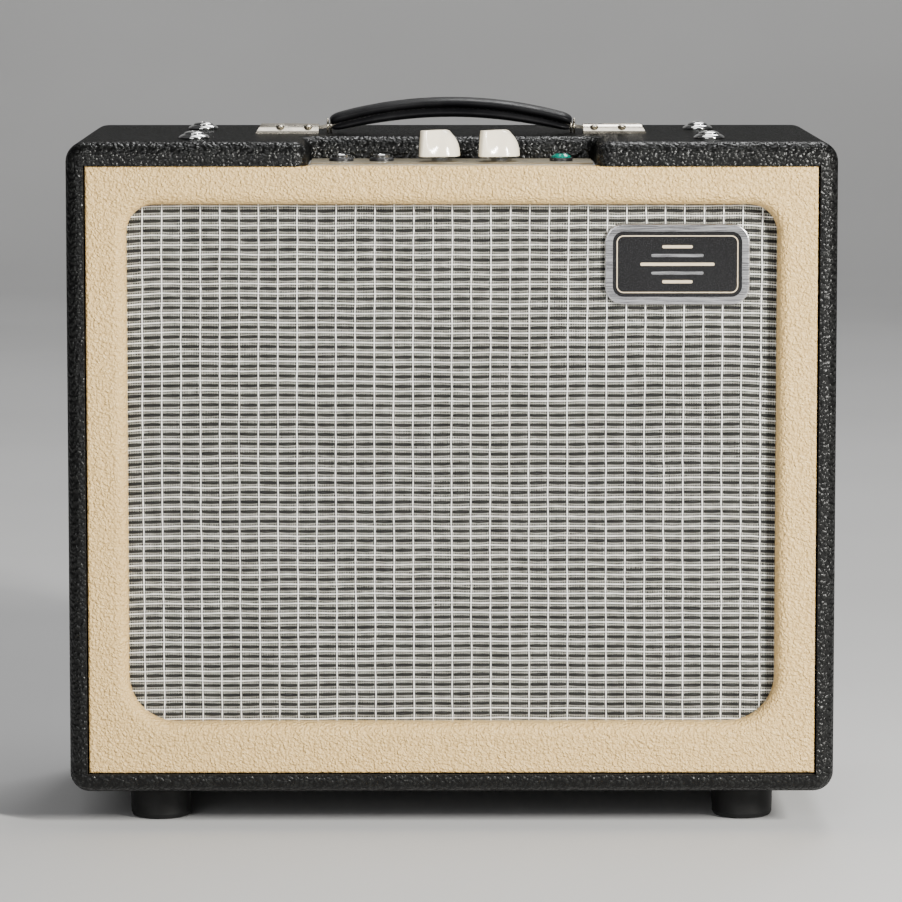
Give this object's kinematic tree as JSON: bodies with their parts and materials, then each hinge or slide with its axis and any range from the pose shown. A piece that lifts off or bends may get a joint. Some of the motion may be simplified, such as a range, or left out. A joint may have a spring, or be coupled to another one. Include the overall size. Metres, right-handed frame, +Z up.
{
  "type": "guitar amplifier",
  "caption": "Combo guitar amplifier: pebbled cabinet, cream framed grille, top controls in a notch, carrying handle, valve chassis and a loudspeaker behind the baffle.",
  "frame": {"origin": "centre of the footprint, at the bottom of the feet", "axes": "+X to the right seen from the front, +Y to the back, +Z up; the grille faces -Y"},
  "size_m": [0.457, 0.24, 0.4329],
  "materials": {
    "basket_paint": "satin paint",
    "black_plastic": "satin",
    "black_vinyl": "pebbled vinyl, satin",
    "cable_black": "satin",
    "cardboard": "cork and card",
    "champagne_plate": "satin anodised",
    "chrome": "polished",
    "circuit_green": "laminate",
    "copper_coil": "varnished copper",
    "cream_vinyl": "finely wrinkled vinyl, satin",
    "doped_cloth": "doped cloth, tacky sheen",
    "ferrite": "matte sintered",
    "green_lens": "faceted, clear",
    "grille_cloth": "woven, matte",
    "handle_black": "smooth, satin",
    "iron_black": "satin paint",
    "ivory_plastic": "glossy",
    "nickel": "polished nickel",
    "paper_cone": "pressed paper pulp",
    "plywood": "bare plywood",
    "plywood_black": "painted black, matte",
    "rubber_black": "matte",
    "screw_steel": "black oxide",
    "silver_metal": "brushed",
    "socket_white": "unglazed ceramic",
    "spider_cloth": "varnished cloth",
    "tag_board": "laminate",
    "valve_glass": "clear glass",
    "zinc_steel": "zinc plated"
  },
  "bodies": {
    "cabinet": {"back_panel_lower": "black_vinyl", "back_panel_upper": "black_vinyl", "baffle_board": "plywood_black", "basket_legs": "basket_paint", "basket_seat": "basket_paint", "battens": "plywood", "cabinet_bottom": "plywood_black", "cabinet_side_left": "plywood_black", "cabinet_side_right": "plywood_black", "cabinet_top": "plywood_black", "chassis": "zinc_steel", "chassis_base": "zinc_steel", "chassis_bolts": "chrome", "chassis_walls": "zinc_steel", "circuit_board": "circuit_green", "control_plate": "champagne_plate", "cup_washers": "chrome", "front_frame": "cream_vinyl", "fuse_holder": "black_plastic", "grille_cloth": "grille_cloth", "handle_end_cap_left": "nickel", "handle_end_cap_right": "nickel", "handle_screws": "nickel", "jack_nuts": "black_plastic", "jack_sockets": "chrome", "mains_inlet": "black_plastic", "name_badge": "silver_metal", "output_transformer": "iron_black", "pilot_jewel": "green_lens", "pilot_lamp_holder": "black_plastic", "pot_nuts": "chrome", "potentiometers": "zinc_steel", "power_switch": "black_plastic", "power_transformer": "iron_black", "power_tube": "valve_glass", "preamp_tubes": "valve_glass", "rubber_feet": "rubber_black", "speaker_back_plate": "zinc_steel", "speaker_basket": "basket_paint", "speaker_gasket": "cardboard", "speaker_lead": "cable_black", "speaker_magnet": "ferrite", "speaker_screws": "screw_steel", "speaker_spider": "spider_cloth", "speaker_surround": "doped_cloth", "speaker_terminals": "tag_board", "speaker_top_plate": "zinc_steel", "tube_sockets": "socket_white", "vinyl_covering": "black_vinyl", "wood_screws": "screw_steel"},
    "volume_control": {"volume_shaft": "zinc_steel", "volume_knob": "ivory_plastic"},
    "tone_control": {"tone_shaft": "zinc_steel", "tone_knob": "ivory_plastic"},
    "attenuator": {"attenuator_knob": "ivory_plastic"},
    "power_toggle": {"power_lever": "chrome"},
    "cone_assembly": {"speaker_cone": "paper_cone", "dust_cap": "paper_cone", "voice_coil": "copper_coil"},
    "grip": {"handle_grip": "handle_black"},
    "link_left": {"handle_link_left": "nickel"},
    "link_right": {"handle_link_right": "nickel"}
  },
  "joints": [
    {"name": "volume_turn", "type": "hinge", "parent": "cabinet", "child": "volume_control", "pos_m": [-0.0059, -0.083, 0.398], "axis": [0, 0, -1], "range_deg": [0, 276]},
    {"name": "tone_turn", "type": "hinge", "parent": "cabinet", "child": "tone_control", "pos_m": [0.0297, -0.083, 0.398], "axis": [0, 0, -1], "range_deg": [0, 276]},
    {"name": "attenuator_turn", "type": "hinge", "parent": "cabinet", "child": "attenuator", "pos_m": [0.02, 0.096, 0.3745], "axis": [0, -1, 0], "range_deg": [0, 270]},
    {"name": "power_throw", "type": "hinge", "parent": "cabinet", "child": "power_toggle", "pos_m": [-0.06, 0.096, 0.3745], "axis": [1, 0, 0], "range_deg": [0, 24]},
    {"name": "cone_travel", "type": "slide", "parent": "cabinet", "child": "cone_assembly", "axis": [0, -1, 0], "range_m": [-0.003, 0.003], "stiffness_N_per_m": 2500, "deforming": ["speaker_surround", "speaker_spider"]},
    {"name": "handle_lift", "type": "slide", "parent": "cabinet", "child": "grip", "axis": [0, 0, 1], "range_m": [0, 0.006]},
    {"name": "link_left_swing", "type": "hinge", "parent": "cabinet", "child": "link_left", "pos_m": [-0.088, 0, 0.4132], "axis": [0, -1, 0], "range_deg": [0, 17.5]},
    {"name": "link_right_swing", "type": "hinge", "parent": "cabinet", "child": "link_right", "pos_m": [0.088, 0, 0.4132], "axis": [0, 1, 0], "range_deg": [0, 17.5]}
  ],
  "couplings": [
    {"joint": "link_left_swing", "follows": "handle_lift", "rad_per_m": 49},
    {"joint": "link_right_swing", "follows": "handle_lift", "rad_per_m": 49}
  ]
}
